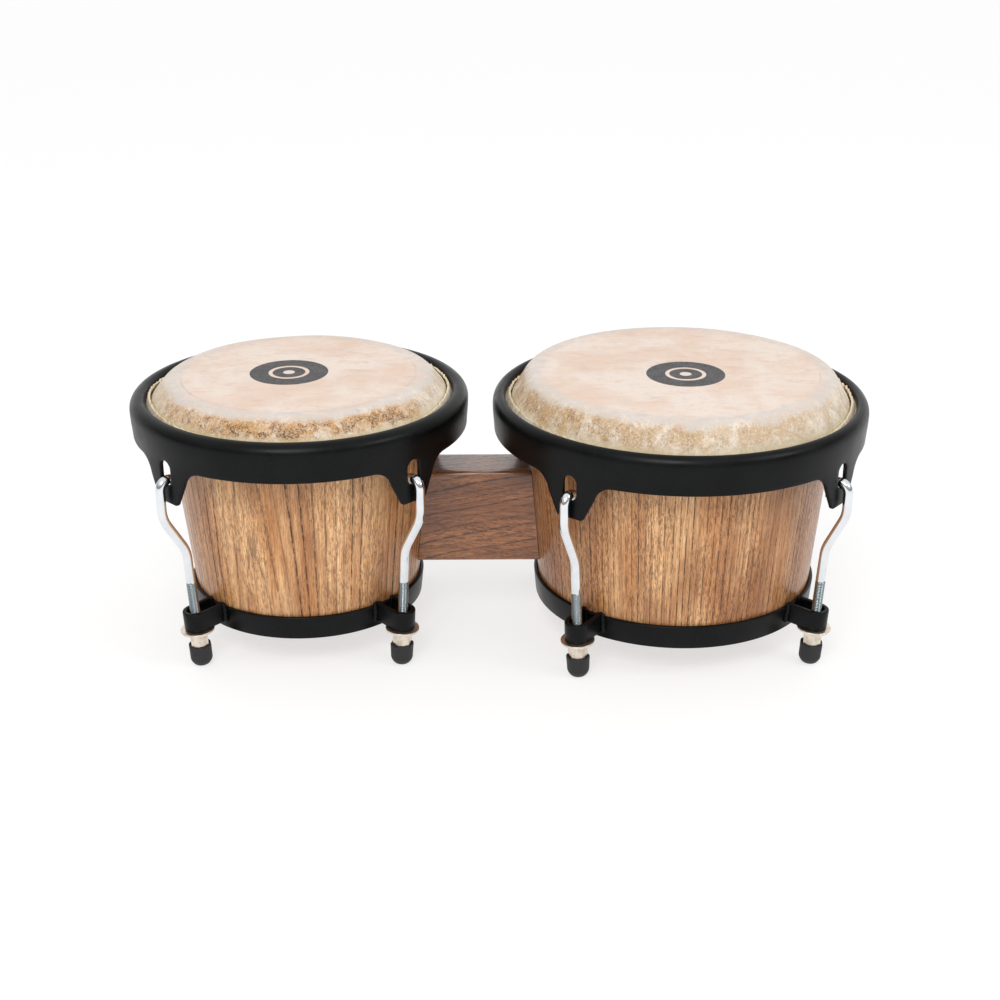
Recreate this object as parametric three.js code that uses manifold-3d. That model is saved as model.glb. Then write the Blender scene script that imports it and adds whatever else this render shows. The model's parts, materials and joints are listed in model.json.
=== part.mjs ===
// Bongo drums: a small drum (macho) and a large drum (hembra) joined by a wooden block.
// Millimetres, +Z up. The feet stand on z = 0, +X runs from the macho to the hembra,
// and the origin is under the middle of the pair.
//
// Each drum is a tapered wooden shell with a rawhide head. The skin is lapped round a
// steel flesh hoop, a steel rim presses the hoop down, and four hooked rods pull the
// rim towards a bottom ring. A long nut in a rubber tip draws each rod, and is a foot.

import * as THREE from 'three';
import { mergeVertices } from 'three/addons/utils/BufferGeometryUtils.js';
import Module from 'manifold-3d';

const wasm = await Module();
wasm.setup();

// ---------------------------------------------------------------- driving dimensions

const CLEARANCE = 0.3; // between pieces that touch
const ROUND_STEPS = 40; // facets round a drum
const BAR_STEPS = 10; // facets round a bolt, washer or bore
const OVERRUN = 10; // how far a cutting shape runs past what it cuts
const AXIS_SPACING = 226.5; // from one drum's axis to the other's

const MACHO = {
  name: 'macho',
  headTop: 162.3,
  rimTop: 153.5,
  rimRadius: 100.2,
  lipRadius: 90.6, // inner edge of the rim's rolled top
  collarRadius: 87.8, // outside of the skin where it meets the hoop
  shellTopRadius: 81.5,
  shellFootRadius: 67.4,
  footCircle: 84.2, // radius of the circle that the four feet stand on
  clocking: 0, // turn of the four stations, degrees
};

const HEMBRA = {
  name: 'hembra',
  headTop: 163,
  rimTop: 149.6,
  rimRadius: 111.9,
  lipRadius: 104.3,
  collarRadius: 101.0,
  shellTopRadius: 94.3,
  shellFootRadius: 82.7,
  footCircle: 98.6,
  clocking: 6,
};

const HEAD = { thickness: 1.3, shoulder: 15 };
const SHELL = { bottom: 21, shoulderHeight: 153, wall: 8, headGap: 0.35 };
const HOOP = { wireRadius: 2.6, collarGap: 4.0, lapThickness: 0.8 };
const RIM = { sheet: 2.5, taper: 1, lipDrop: 4.7 };
const EAR = { footHalfWidth: 10, shoulderHalfWidth: 15.5, fillet: 12, corner: 3 };
const EAR_HOLE = { width: 9, height: 15 };

// How far below the top of its rim each of these parts of a drum sits.
const DROP = {
  collar: 4, // the skin's upright edge starts
  collarFoot: 11, // and ends
  hoop: 9, // middle of the flesh hoop's wire
  band: 22.5, // lower edge of the rim between its ears
  earHole: 34.5, // bottom of the holes that the hooks hang in
  ear: 45.2, // foot of the ears
  rod: 143.2, // lower end of the rods
};
const RING = { bottom: 21, top: 35.5, thickness: 2.2 };
const STRAP = { bottom: 24.4, height: 12, innerRadius: 4.6, thickness: 2.8, weldDepth: 1.2 };

const STATION_COUNT = 4;
const FIRST_STATION = 45; // degrees from +X, counter-clockwise
const ROD_LEAN = THREE.MathUtils.degToRad(3.75); // the rods spread outwards as they rise
const ROD = { radius: 2.8, lowBend: 75.5, highBend: 99.5, bendReach: 5.5 };
const HOOK = { radius: 5.6, tipDrop: 6 };
const WASHER = { radius: 10, faceHeight: 1.2, coneRadius: 6.4, top: 24.1, bottom: 21.3 };
const NUT = { acrossFlats: 10, bottom: 3.3, top: 21, boreRadius: 3.4 };
const TIP = { radius: 6.8, flatRadius: 2.5, noseHeight: 5.5, top: 13.5, floor: 3.0 };

const BLOCK = { depth: 32, bottom: 46, top: 104.3, overlap: 12 };
const BOLT = { radius: 4, heights: [62, 88], headAcrossFlats: 13, headHeight: 5.5, endLength: 3 };
const BOLT_WASHER = { radius: 10, thickness: 1.6 };
const SPOT_FACE = { radius: 11, depth: 1.3 };
const BOLT_NUT = { acrossFlats: 13, height: 6.5 };

// The middle of the pair is the middle of its box, and the larger rim reaches further out.
const PAIR_SHIFT = (MACHO.rimRadius - HEMBRA.rimRadius) / 2;
MACHO.axisX = -AXIS_SPACING / 2 + PAIR_SHIFT;
HEMBRA.axisX = AXIS_SPACING / 2 + PAIR_SHIFT;

// ------------------------------------------------------------------------- materials

const metal = (color, roughness) =>
  new THREE.MeshStandardMaterial({ color, roughness, metalness: 0.9, flatShading: true });
const plain = (color, roughness) =>
  new THREE.MeshStandardMaterial({ color, roughness, metalness: 0, flatShading: true });

const SHELL_WOOD = plain(0xb07a4c, 0.45);
const BLOCK_WOOD = plain(0x7a4f33, 0.5);
const RAWHIDE = plain(0xe0c8ac, 0.6);
const BLACK_STEEL = metal(0x141516, 0.4);
const CHROME = metal(0xd8dadc, 0.12);
const NICKEL = metal(0xcfc4b4, 0.3);
const ZINC = metal(0xb4b6b8, 0.35);
const RUBBER = plain(0x1b1b1c, 0.85);

// --------------------------------------------------------------------------- helpers

const radians = THREE.MathUtils.degToRad;

// One closed surface: shared corners are merged and collapsed faces are dropped.
function weld(geometry) {
  const source = geometry.clone();
  source.deleteAttribute('normal');
  source.deleteAttribute('uv');
  const merged = mergeVertices(source, 1e-4);
  const corners = merged.index.array;
  const kept = [];
  for (let i = 0; i < corners.length; i += 3) {
    const [a, b, c] = [corners[i], corners[i + 1], corners[i + 2]];
    if (a !== b && b !== c && c !== a) kept.push(a, b, c);
  }
  merged.setIndex(kept);
  return merged;
}

function toSolid(geometry) {
  const welded = weld(geometry);
  return new wasm.Manifold(new wasm.Mesh({
    numProp: 3,
    vertProperties: new Float32Array(welded.attributes.position.array),
    triVerts: new Uint32Array(welded.index.array),
  }));
}

function toGeometry(solid) {
  const mesh = solid.getMesh();
  const geometry = new THREE.BufferGeometry();
  geometry.setAttribute('position', new THREE.BufferAttribute(mesh.vertProperties, 3));
  geometry.setIndex(new THREE.BufferAttribute(mesh.triVerts, 1));
  return geometry;
}

const cut = (body, ...tools) =>
  toGeometry(tools.reduce((solid, tool) => solid.subtract(toSolid(tool)), toSolid(body)));
const join = (body, ...others) =>
  toGeometry(others.reduce((solid, other) => solid.add(toSolid(other)), toSolid(body)));

// A solid of revolution about Z from [radius, height] points in order round the section.
// A section that doesn't start and end on the axis is closed on itself.
function revolve(section, steps = ROUND_STEPS) {
  const points = section.map(([radius, height]) => new THREE.Vector2(radius, height));
  if (THREE.ShapeUtils.isClockWise(points)) points.reverse();
  const onAxis = points.some((point) => point.x === 0);
  if (onAxis) {
    while (points[0].x !== 0 || points[points.length - 1].x !== 0) points.push(points.shift());
  } else {
    points.push(points[0].clone());
  }
  return weld(new THREE.LatheGeometry(points, steps).rotateX(Math.PI / 2));
}

// Points on an arc of a section, from one angle to another in degrees.
function arcPoints(centreX, centreY, radius, from, to, steps) {
  return Array.from({ length: steps + 1 }, (_, i) => {
    const angle = radians(THREE.MathUtils.lerp(from, to, i / steps));
    return [centreX + radius * Math.cos(angle), centreY + radius * Math.sin(angle)];
  });
}

const outlineShape = (points) => new THREE.Shape(points.map(([x, y]) => new THREE.Vector2(x, y)));

function regularShape(circumradius, sides) {
  const corners = Array.from({ length: sides }, (_, i) => {
    const angle = (i * 2 * Math.PI) / sides;
    return [circumradius * Math.cos(angle), circumradius * Math.sin(angle)];
  });
  return outlineShape(corners);
}

const hexShape = (acrossFlats) => regularShape(acrossFlats / Math.sqrt(3), 6);

// An upright prism between two heights.
function prism(shape, bottom, top) {
  const geometry = new THREE.ExtrudeGeometry(shape, { depth: top - bottom, bevelEnabled: false });
  return geometry.translate(0, 0, bottom);
}

const cylinder = (radius, bottom, top, steps = BAR_STEPS) =>
  prism(regularShape(radius, steps), bottom, top);

// Turns a shape drawn as (sideways, up) into a bar that runs out along +X.
function alongX(shape, from, to) {
  return prism(shape, from, to).rotateZ(Math.PI / 2).rotateY(Math.PI / 2);
}

function named(name, geometry, material) {
  const mesh = new THREE.Mesh(geometry, material);
  mesh.name = name;
  return mesh;
}

const stationAngle = (index) => radians(FIRST_STATION + (index * 360) / STATION_COUNT);
const stations = Array.from({ length: STATION_COUNT }, (_, index) => index);

// The lowest point of a tilted foot is the edge of its flat, so the foot is lifted by that.
const FOOT_LIFT = TIP.flatRadius * Math.sin(ROD_LEAN);

const earOuterRadius = (drum) => drum.rimRadius - RIM.taper;

const earHoleBottom = (drum) => drum.rimTop - DROP.earHole;

const leaningRadius = (drum, height) => drum.footCircle + height * Math.tan(ROD_LEAN);

function shellRadius(drum, height) {
  const rise = (height - SHELL.bottom) / (SHELL.shoulderHeight - SHELL.bottom);
  return THREE.MathUtils.lerp(drum.shellFootRadius, drum.shellTopRadius, rise);
}

// ------------------------------------------------------------------------ drum pieces

// The wall is rounded over at the top, where the skin bears on it.
function shellSection(drum) {
  const outer = drum.shellTopRadius;
  const inner = outer - SHELL.wall;
  const top = drum.headTop - HEAD.thickness - SHELL.headGap;
  return [
    [drum.shellFootRadius - SHELL.wall, SHELL.bottom],
    [drum.shellFootRadius, SHELL.bottom],
    [outer, SHELL.shoulderHeight],
    [outer - 1.4, top - 3.6],
    [outer - 5, top - 0.5],
    [inner, top - 1.5],
  ];
}

// The bolts that hold the block pass through the side of the shell that faces it, and
// the wall is faced flat inside for their washers. side is +1 on the macho.
function makeShell(drum, side) {
  const inside = drum.shellFootRadius / 2;
  const outside = drum.shellTopRadius + OVERRUN;
  const tools = BOLT.heights.flatMap((height) => {
    const face = spotFaceRadius(drum, height);
    const bore = alongX(regularShape(BOLT.radius + CLEARANCE, BAR_STEPS), inside, outside);
    const spotFace = alongX(regularShape(SPOT_FACE.radius, BAR_STEPS * 2), inside, face);
    return [bore, spotFace].map((tool) =>
      tool.translate(0, 0, height).rotateZ((side > 0 ? 0 : Math.PI) - radians(drum.clocking)));
  });
  return cut(revolve(shellSection(drum)), ...tools);
}

function spotFaceRadius(drum, height) {
  return shellRadius(drum, height) - SHELL.wall + SPOT_FACE.depth;
}

// The skin is flat to the shoulder, rounds over the bearing edge, and slopes to the collar.
function headSection(drum) {
  const top = drum.headTop;
  const under = top - HEAD.thickness;
  const collar = drum.collarRadius;
  const collarHeight = drum.rimTop - DROP.collar;
  const collarFoot = drum.rimTop - DROP.collarFoot;
  const flat = collar - HEAD.shoulder;
  return [
    [0, top],
    [flat, top],
    [flat + 5.4, top - 1],
    [flat + 10, top - 4.4],
    [collar - 1.4, collarHeight + 3.2],
    [collar, collarHeight - 1],
    [collar, collarFoot],
    [collar - 1.1, collarFoot],
    [collar - 1.1, collarHeight - 1.2],
    [collar - 2.6, collarHeight + 2.8],
    [flat + 9.1, under - 4],
    [flat + 5.1, under - 0.9],
    [flat, under],
    [0, under],
  ];
}

const hoopCentre = (drum) => [drum.collarRadius + HOOP.collarGap, drum.rimTop - DROP.hoop];

function makeHoop(drum) {
  return revolve(arcPoints(...hoopCentre(drum), HOOP.wireRadius, 0, 300, 5));
}

// The skin's lap goes under the hoop, up its outside and over its top, and stays open inside.
function makeLap(drum) {
  const inner = HOOP.wireRadius + CLEARANCE;
  const outer = inner + HOOP.lapThickness;
  return revolve([
    ...arcPoints(...hoopCentre(drum), outer, -110, 110, 5),
    ...arcPoints(...hoopCentre(drum), inner, 110, -110, 5),
  ]);
}

// Rolled top, outer wall and a skirt that reaches down past the foot of the ears. The
// roll is crowned: its highest line lies nearer to the lip than to the wall.
function rimSection(drum) {
  const top = drum.rimTop;
  const outer = drum.rimRadius;
  const lip = drum.lipRadius;
  const roll = outer - lip;
  const earOuter = earOuterRadius(drum);
  const bandBottom = top - DROP.band;
  const skirtBottom = top - DROP.ear - OVERRUN / 2;
  return [
    [earOuter, skirtBottom],
    [earOuter, bandBottom],
    [outer, top - 5.5],
    [outer - 0.12 * roll, top - 2.6],
    [outer - 0.35 * roll, top - 0.6],
    [outer - 0.65 * roll, top],
    [lip + 0.12 * roll, top - 0.8],
    [lip, top - 3],
    [lip, top - RIM.lipDrop],
    [lip + 1.7, top - RIM.lipDrop],
    [outer - RIM.sheet - 1, top - 3.2],
    [outer - RIM.sheet - 0.1, top - 6.5],
    [earOuter - RIM.sheet, bandBottom],
    [earOuter - RIM.sheet, skirtBottom],
  ];
}

// An ear seen from outside, with the fillets that run out into the band's lower edge.
function earShape(drum) {
  const { footHalfWidth, shoulderHalfWidth, fillet, corner } = EAR;
  const wing = shoulderHalfWidth + fillet;
  const bandBottom = drum.rimTop - DROP.band;
  const cornerHeight = drum.rimTop - DROP.ear + corner;
  const half = [
    [wing, bandBottom + OVERRUN],
    ...arcPoints(wing, bandBottom - fillet, fillet, 90, 165, 3),
    ...arcPoints(footHalfWidth - corner, cornerHeight, corner, -15, -90, 2),
  ];
  const mirrored = half.map(([x, z]) => [-x, z]).reverse();
  return outlineShape([...half, ...mirrored]);
}

function earHoleShape(drum) {
  const radius = EAR_HOLE.width / 2;
  const low = earHoleBottom(drum) + radius;
  const high = earHoleBottom(drum) + EAR_HOLE.height - radius;
  return outlineShape([
    ...arcPoints(0, high, radius, 0, 180, 4),
    ...arcPoints(0, low, radius, 180, 360, 4),
  ]);
}

// The skirt is cut away between the ears, and a hole is cut through each ear.
function makeRim(drum) {
  const inside = drum.lipRadius - OVERRUN;
  const outside = drum.rimRadius + OVERRUN;
  const atStation = (shape, index) =>
    alongX(shape, inside - OVERRUN, outside + OVERRUN).rotateZ(stationAngle(index));
  const bandBottom = drum.rimTop - DROP.band;
  const below = drum.rimTop - DROP.ear - OVERRUN;
  const skirt = revolve([[inside, below], [outside, below], [outside, bandBottom], [inside, bandBottom]]);
  const betweenEars = cut(skirt, ...stations.map((index) => atStation(earShape(drum), index)));
  return cut(
    revolve(rimSection(drum)),
    betweenEars,
    ...stations.map((index) => atStation(earHoleShape(drum), index)),
  );
}

// The strap of a lug, bent round the rod, with its two legs run into the ring.
function strapShape(legLength) {
  const { innerRadius, thickness } = STRAP;
  const outer = innerRadius + thickness;
  return outlineShape([
    [-legLength, -outer],
    ...arcPoints(0, 0, outer, -90, 90, 6),
    [-legLength, outer],
    [-legLength, innerRadius],
    ...arcPoints(0, 0, innerRadius, 90, -90, 4),
    [-legLength, -innerRadius],
  ]);
}

function makeBottomRing(drum) {
  const low = shellRadius(drum, RING.bottom) + CLEARANCE;
  const high = shellRadius(drum, RING.top) + CLEARANCE;
  const band = revolve([
    [low, RING.bottom],
    [low + RING.thickness, RING.bottom],
    [high + RING.thickness, RING.top],
    [high, RING.top],
  ]);
  const middle = STRAP.bottom + STRAP.height / 2;
  const bandFace = shellRadius(drum, middle) + CLEARANCE + RING.thickness;
  const legLength = leaningRadius(drum, middle) - bandFace + STRAP.weldDepth;
  const straps = stations.map((index) =>
    prism(strapShape(legLength), STRAP.bottom, STRAP.bottom + STRAP.height)
      .rotateY(ROD_LEAN)
      .translate(drum.footCircle, 0, FOOT_LIFT)
      .rotateZ(stationAngle(index)));
  return join(band, ...straps);
}

// ---------------------------------------------------------------------- tuning pieces

// A path through given points whose sections stand at those points, close together in
// the bends and far apart along the straights.
class BentPath extends THREE.Curve {
  constructor(points) {
    super();
    this.points = points;
  }

  getPoint(t, target = new THREE.Vector3()) {
    const place = THREE.MathUtils.clamp(t, 0, 1) * (this.points.length - 1);
    const index = Math.min(Math.floor(place), this.points.length - 2);
    return target.lerpVectors(this.points[index], this.points[index + 1], place - index);
  }

  getUtoTmapping(u) {
    return u;
  }
}

// A bend that leaves the straight before a corner and joins the straight after it.
function bendPoints(before, corner, after, reach, steps) {
  const start = corner.clone().lerp(before, reach / corner.distanceTo(before));
  const end = corner.clone().lerp(after, reach / corner.distanceTo(after));
  return new THREE.QuadraticBezierCurve(start, corner, end).getPoints(steps);
}

// The rod rises from the nut on the lean, steps outwards, stands upright beside the
// ear, and turns over the lower edge of the ear's hole with its tip pointing down.
function rodPath(drum) {
  const earMiddle = earOuterRadius(drum) - RIM.sheet / 2;
  const leg = earMiddle + HOOK.radius;
  const reach = Math.sqrt((HOOK.radius - ROD.radius) ** 2 - (RIM.sheet / 2) ** 2);
  const hookHeight = earHoleBottom(drum) + CLEARANCE - reach;
  const onLean = (height) => new THREE.Vector2(leaningRadius(drum, height - FOOT_LIFT), height);
  const [foot, low] = [onLean(drum.rimTop - DROP.rod), onLean(ROD.lowBend)];
  const [high, hookStart] = [new THREE.Vector2(leg, ROD.highBend), new THREE.Vector2(leg, hookHeight)];
  const outline = [
    foot.toArray(),
    ...bendPoints(foot, low, high, ROD.bendReach, 3).map((point) => point.toArray()),
    ...bendPoints(low, high, hookStart, ROD.bendReach, 3).map((point) => point.toArray()),
    ...arcPoints(earMiddle, hookHeight, HOOK.radius, 0, 180, 6),
    [earMiddle - HOOK.radius, hookHeight - HOOK.tipDrop],
  ];
  return new BentPath(outline.map(([radius, height]) => new THREE.Vector3(radius, 0, height)));
}

function makeRod(drum) {
  const path = rodPath(drum);
  return new THREE.ExtrudeGeometry(regularShape(ROD.radius, 8), {
    extrudePath: path, steps: path.points.length - 1, bevelEnabled: false,
  });
}

// A round flat face under the strap that narrows to the nut.
function makeWasher() {
  return revolve([
    [NUT.boreRadius, WASHER.bottom],
    [WASHER.coneRadius, WASHER.bottom],
    [WASHER.radius, WASHER.top - WASHER.faceHeight],
    [WASHER.radius, WASHER.top],
    [NUT.boreRadius, WASHER.top],
  ], BAR_STEPS);
}

function makeNut() {
  const bore = cylinder(NUT.boreRadius, NUT.bottom - 1, NUT.top + 1);
  return cut(prism(hexShape(NUT.acrossFlats), NUT.bottom, NUT.top), bore);
}

// A round-nosed cap with a hexagonal socket for the nut.
function makeTip() {
  const socket = prism(hexShape(NUT.acrossFlats + 2 * CLEARANCE), TIP.floor, TIP.top + 1);
  const cap = revolve([
    [0, 0],
    [TIP.flatRadius, 0],
    [TIP.radius - 1.9, TIP.noseHeight * 0.33],
    [TIP.radius - 0.3, TIP.noseHeight],
    [TIP.radius, TIP.top],
    [0, TIP.top],
  ], BAR_STEPS);
  return cut(cap, socket);
}

function makeStation(drum, index) {
  const label = (piece) => `${drum.name}_${piece}_${index + 1}`;
  const foot = new THREE.Group();
  foot.add(named(label('washer'), makeWasher(), NICKEL));
  foot.add(named(label('nut'), makeNut(), NICKEL));
  foot.add(named(label('tip'), makeTip(), RUBBER));
  foot.position.set(drum.footCircle, 0, FOOT_LIFT);
  foot.rotation.y = ROD_LEAN;
  const station = new THREE.Group();
  station.add(foot, named(label('rod'), makeRod(drum), CHROME));
  station.rotation.z = stationAngle(index);
  return station;
}

function makeDrum(drum, side) {
  const group = new THREE.Group();
  group.add(
    named(`${drum.name}_shell`, makeShell(drum, side), SHELL_WOOD),
    named(`${drum.name}_head`, revolve(headSection(drum)), RAWHIDE),
    named(`${drum.name}_head_lap`, makeLap(drum), RAWHIDE),
    named(`${drum.name}_flesh_hoop`, makeHoop(drum), ZINC),
    named(`${drum.name}_rim`, makeRim(drum), BLACK_STEEL),
    named(`${drum.name}_bottom_ring`, makeBottomRing(drum), BLACK_STEEL),
    ...stations.map((index) => makeStation(drum, index)),
  );
  group.position.x = drum.axisX;
  group.rotation.z = radians(drum.clocking);
  return group;
}

// ----------------------------------------------------------------------- centre block

// The block's ends are hollowed to fit the two shells, and two bolts run through it.
function makeBlock() {
  const from = MACHO.axisX + shellRadius(MACHO, BLOCK.bottom) - BLOCK.overlap;
  const to = HEMBRA.axisX - shellRadius(HEMBRA, BLOCK.bottom) + BLOCK.overlap;
  const height = BLOCK.top - BLOCK.bottom;
  const board = new THREE.BoxGeometry(to - from, BLOCK.depth, height)
    .translate((from + to) / 2, 0, BLOCK.bottom + height / 2);
  const hollows = [MACHO, HEMBRA].map((drum) =>
    revolve([
      [0, SHELL.bottom],
      [shellRadius(drum, SHELL.bottom) + CLEARANCE, SHELL.bottom],
      [shellRadius(drum, SHELL.shoulderHeight) + CLEARANCE, SHELL.shoulderHeight],
      [0, SHELL.shoulderHeight],
    ]).rotateZ(radians(drum.clocking)).translate(drum.axisX, 0, 0));
  const bores = BOLT.heights.map((bore) =>
    alongX(regularShape(BOLT.radius + CLEARANCE, BAR_STEPS), from - 1, to + 1).translate(0, 0, bore));
  return cut(board, ...hollows, ...bores);
}

// A through-bolt with its head in the macho and its nut in the hembra, a washer at each end.
function makeBolt(height, label) {
  const headFace = MACHO.axisX + spotFaceRadius(MACHO, height) - BOLT_WASHER.thickness - 2 * CLEARANCE;
  const nutFace = HEMBRA.axisX - spotFaceRadius(HEMBRA, height) + BOLT_WASHER.thickness + 2 * CLEARANCE;
  const nutEnd = nutFace + BOLT_NUT.height;
  const round = (radius) => regularShape(radius, BAR_STEPS);
  const bolt = join(
    alongX(hexShape(BOLT.headAcrossFlats), headFace - BOLT.headHeight, headFace),
    alongX(round(BOLT.radius), headFace - 1, nutEnd + BOLT.endLength),
  );
  const ring = (outline, from, to) =>
    cut(alongX(outline, from, to), alongX(round(BOLT.radius + CLEARANCE), from - 1, to + 1));
  const washerEnd = BOLT_WASHER.thickness + CLEARANCE;
  const group = new THREE.Group();
  group.add(
    named(`block_bolt_${label}`, bolt, ZINC),
    named(`block_washer_macho_${label}`,
      ring(round(BOLT_WASHER.radius), headFace + CLEARANCE, headFace + washerEnd), ZINC),
    named(`block_washer_hembra_${label}`,
      ring(round(BOLT_WASHER.radius), nutFace - washerEnd, nutFace - CLEARANCE), ZINC),
    named(`block_nut_${label}`, ring(hexShape(BOLT_NUT.acrossFlats), nutFace, nutEnd), ZINC),
  );
  group.position.z = height;
  return group;
}

// --------------------------------------------------------------------------- assembly

const bongos = new THREE.Group();
bongos.add(
  makeDrum(MACHO, 1),
  makeDrum(HEMBRA, -1),
  named('centre_block', makeBlock(), BLOCK_WOOD),
  makeBolt(BOLT.heights[0], 'lower'),
  makeBolt(BOLT.heights[1], 'upper'),
);

export default bongos;
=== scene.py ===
"""Bongo drums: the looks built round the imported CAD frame.

Pieces are made in millimetres in the row's frame and scaled to metres as they become
meshes. A drum's pieces are drawn about that drum's own axis and then moved onto it.
"""

import json
import math
import random

import bmesh
import bpy
from mathutils import Matrix, Vector
from mathutils.geometry import delaunay_2d_cdt


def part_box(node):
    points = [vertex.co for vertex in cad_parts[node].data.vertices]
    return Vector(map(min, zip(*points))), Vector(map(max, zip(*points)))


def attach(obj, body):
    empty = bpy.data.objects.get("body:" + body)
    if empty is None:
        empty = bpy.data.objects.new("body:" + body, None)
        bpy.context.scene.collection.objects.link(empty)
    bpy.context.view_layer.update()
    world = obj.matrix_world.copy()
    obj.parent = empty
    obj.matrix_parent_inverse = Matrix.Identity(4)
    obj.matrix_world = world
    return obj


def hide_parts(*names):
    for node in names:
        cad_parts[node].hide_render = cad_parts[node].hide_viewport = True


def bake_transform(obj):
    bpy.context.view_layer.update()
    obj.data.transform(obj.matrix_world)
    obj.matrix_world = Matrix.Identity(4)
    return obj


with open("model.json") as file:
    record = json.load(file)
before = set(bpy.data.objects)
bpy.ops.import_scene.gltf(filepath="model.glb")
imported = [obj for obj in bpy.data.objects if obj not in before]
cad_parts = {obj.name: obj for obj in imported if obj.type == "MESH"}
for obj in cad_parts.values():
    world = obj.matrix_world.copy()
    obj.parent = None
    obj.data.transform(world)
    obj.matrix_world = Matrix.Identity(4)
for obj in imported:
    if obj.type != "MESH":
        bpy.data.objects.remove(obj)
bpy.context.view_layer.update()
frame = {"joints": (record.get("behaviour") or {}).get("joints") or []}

MM = 0.001
FULL_TURN = 2 * math.pi

# ------------------------------------------------------------------ what the frame says


def box_mm(node):
    """A CAD node's lowest and highest corner in millimetres."""
    low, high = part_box(node)
    return low / MM, high / MM


class Drum:
    """Where one drum's parts are, read from its CAD nodes and its nut joints."""

    def __init__(self, name, seed):
        self.name = name
        self.seed = seed
        self.rim_body = f"{name}_rim_and_rods"
        low, high = box_mm(f"{name}_shell")
        self.axis_x = (low.x + high.x) / 2
        self.shell_top_radius = (high.x - low.x) / 2
        self.shell_bottom, self.shell_top = low.z, high.z
        low, high = box_mm(f"{name}_rim")
        self.rim_radius = (high.y - low.y) / 2
        self.ear_bottom, self.rim_top = low.z, high.z
        low, high = box_mm(f"{name}_head")
        self.collar_radius = (high.y - low.y) / 2
        self.head_top = high.z
        low, high = box_mm(f"{name}_flesh_hoop")
        self.hoop_height = (low.z + high.z) / 2
        self.hoop_outer = (high.y - low.y) / 2
        low, high = box_mm(f"{name}_bottom_ring")
        self.ring_bottom, self.strap_top = low.z, high.z
        joints = [j for j in frame["joints"] if j["name"].startswith(f"{name}_nut_turn")]
        self.stations = [Station(j, self.axis_x) for j in joints]


class Station:
    """One rod's place: the angle round the drum, and the leaning axis of rod and nut."""

    def __init__(self, joint, axis_x):
        self.label = joint["name"].rsplit("_", 1)[1]
        self.body = joint["child"]
        foot = Vector(joint["pos_m"]) / MM - Vector((axis_x, 0, 0))
        lean = Vector(joint["axis"])
        self.angle = math.atan2(foot.y, foot.x)
        self.foot_radius = math.hypot(foot.x, foot.y)
        self.foot_lift = foot.z
        self.lean = math.acos(lean.normalized().z)
        upright = Matrix.Rotation(self.angle, 4, "Z")
        self.upright = upright
        self.leaning = (upright @ Matrix.Translation((self.foot_radius, 0, self.foot_lift))
                        @ Matrix.Rotation(self.lean, 4, "Y"))

    def radius_at(self, height):
        return self.foot_radius + (height - self.foot_lift) * math.tan(self.lean)


MACHO = Drum("macho", seed=3)
HEMBRA = Drum("hembra", seed=11)
DRUMS = (MACHO, HEMBRA)

# Sections that the CAD nodes share, in millimetres.
SHELL_WALL = 8
SHELL_SHOULDER = 153
SHELL_FOOT_INSET = {"macho": 14.1, "hembra": 11.6}
RING_TOP = 35.5
RING_THICKNESS = 2.2
GAP = 0.3
RIM_SHEET = 2.5
RIM_TAPER = 1.0
ROLL_WIDTH = {"macho": 9.6, "hembra": 7.6}
LIP_DROP = 4.7
BAND_DROP = 22.5
SEAM_DROP = 10  # where the rolled top meets the pressed wall
EAR_FOOT_HALF = 10
EAR_SHOULDER_HALF = 15.5
EAR_FILLET = 12
EAR_CORNER = 3
HOLE_DROP = 34.5
HOLE_WIDTH = 9
HOLE_HEIGHT = 15
HOOP_WIRE = 2.6
HEAD_SHOULDER = 15
STRAP_BOTTOM = 24.4
STRAP_HEIGHT = 12
STRAP_INNER = 4.6
STRAP_THICKNESS = 2.8
ROD_SHANK = 2.8
ROD_CREST = 2.95
ROD_DROP = 143.2
ROD_BENDS = (75.5, 99.5)
HOOK_RADIUS = 5.6
THREAD_PITCH = 1.0
THREAD_TOP = 54.5
NUT_FLATS = 10
NUT_BORE = 3.3
NUT_BOTTOM = 3.3
NUT_TOP = 21.0
TIP_TOP = 13.5
TIP_FLOOR = 3.1
WASHER_RADIUS = 10.0
WASHER_BORE = 3.4
WASHER_BOTTOM = 21.3
WASHER_TOP = 24.1
WELD_DEPTH = 1.2
BOLT_HEAD = 5.5
BOLT_FLATS = 13
BOLT_PITCH = 1.25
BOLT_ROOT = 3.7
BOLT_CREST = 3.95


def shell_radius(drum, height):
    foot = drum.shell_top_radius - SHELL_FOOT_INSET[drum.name]
    rise = (height - drum.shell_bottom) / (SHELL_SHOULDER - drum.shell_bottom)
    return foot + (drum.shell_top_radius - foot) * rise


# ------------------------------------------------------------------------- mesh helpers


def new_mesh(name, vertices, faces, smooth_angle=35, transform=None):
    """A mesh object from points in millimetres, smooth except at edges past the angle."""
    place = Matrix.Scale(MM, 4)
    if transform is not None:
        place = place @ transform
    mesh = bpy.data.meshes.new(name)
    mesh.from_pydata([place @ Vector(v) for v in vertices], [], faces)
    mesh.validate()
    mesh.shade_smooth()
    mesh.set_sharp_from_angle(angle=math.radians(smooth_angle))
    made = bpy.data.objects.new(name, mesh)
    bpy.context.scene.collection.objects.link(made)
    return made


def polar(radius, degrees):
    angle = math.radians(degrees)
    return radius * math.cos(angle), radius * math.sin(angle)


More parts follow.
